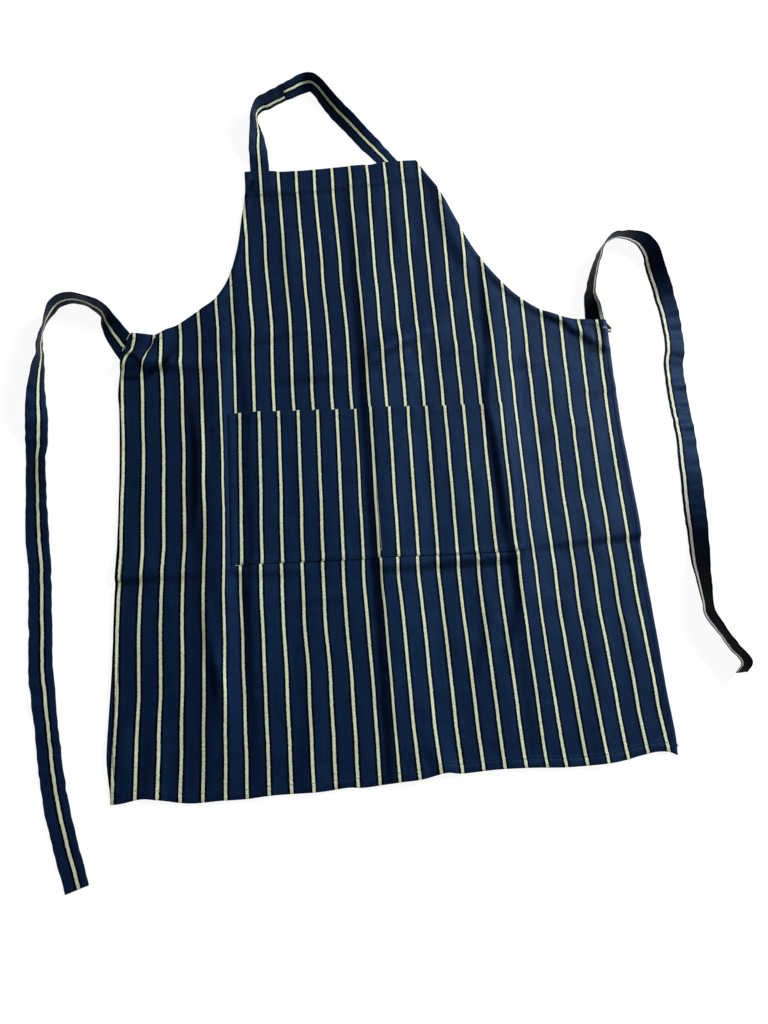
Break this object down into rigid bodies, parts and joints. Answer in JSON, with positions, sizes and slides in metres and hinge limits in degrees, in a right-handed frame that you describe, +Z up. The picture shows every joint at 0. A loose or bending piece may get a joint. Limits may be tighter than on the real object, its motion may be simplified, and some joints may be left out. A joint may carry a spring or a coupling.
{
  "type": "apron",
  "caption": "Pinstriped bib apron with a divided patch pocket, a neck strap and waist ties, lying face up.",
  "frame": {"origin": "on the surface it lies on, under the middle of the apron without its ties", "axes": "+X towards the apron's right-hand side as seen from the front, +Y from the bottom hem to the bib along the stripes, +Z up out of the front face"},
  "size_m": [0.9116, 1.1174, 0.028],
  "materials": {
    "cloth": "navy cotton twill with cream woven pinstripes, matt",
    "thread": "navy sewing thread",
    "cream_thread": "cream sewing thread"
  },
  "bodies": {
    "skirt": {"skirt_panel": "cloth", "patch_pocket": "cloth", "left_tie_anchor": "cloth", "right_tie_anchor": "cloth", "left_tie_tack": "thread", "right_tie_tack": "thread", "left_side_stitch": "thread", "right_side_stitch": "thread", "bottom_hem_stitch": "thread", "left_shoulder_stitch": "thread", "right_shoulder_stitch": "thread", "pocket_hem_stitch": "thread", "pocket_edge_stitch": "thread", "pocket_divider_stitch": "cream_thread", "left_pocket_bar_tack": "thread", "right_pocket_bar_tack": "thread"},
    "bib": {"bib_panel": "cloth", "left_strap_anchor": "cloth", "right_strap_anchor": "cloth", "bib_hem_stitch": "thread", "left_armhole_stitch": "thread", "right_armhole_stitch": "thread", "left_strap_tack": "thread", "right_strap_tack": "thread"},
    "neck_strap": {"neck_strap_left": "cloth", "neck_strap_right": "cloth", "neck_strap_left_stitch": "thread", "neck_strap_right_stitch": "thread", "neck_strap_seam_stitch": "thread"},
    "left_tie": {"left_waist_tie": "cloth", "left_tie_edge_stitch": "thread", "left_tie_end_stitch": "thread"},
    "right_tie": {"right_waist_tie": "cloth", "right_tie_edge_stitch": "thread", "right_tie_end_stitch": "thread"}
  },
  "joints": [
    {"name": "bib_fold", "type": "hinge", "parent": "skirt", "child": "bib", "pos_m": [-0.008, 0.10903, 0.003], "axis": [1, 0, 0], "range_deg": [0, 130]},
    {"name": "neck_strap_fold", "type": "hinge", "parent": "bib", "child": "neck_strap", "pos_m": [-0.144, 0.35573, 0.003], "axis": [0.9976, 0.0695, 0], "range_deg": [0, 150]},
    {"name": "left_tie_fold", "type": "hinge", "parent": "skirt", "child": "left_tie", "pos_m": [-0.3405, 0.07503, 0.003], "axis": [0, 1, 0], "range_deg": [0, 120]},
    {"name": "right_tie_fold", "type": "hinge", "parent": "skirt", "child": "right_tie", "pos_m": [0.3105, 0.08903, 0.003], "axis": [0, -1, 0], "range_deg": [0, 110]}
  ]
}
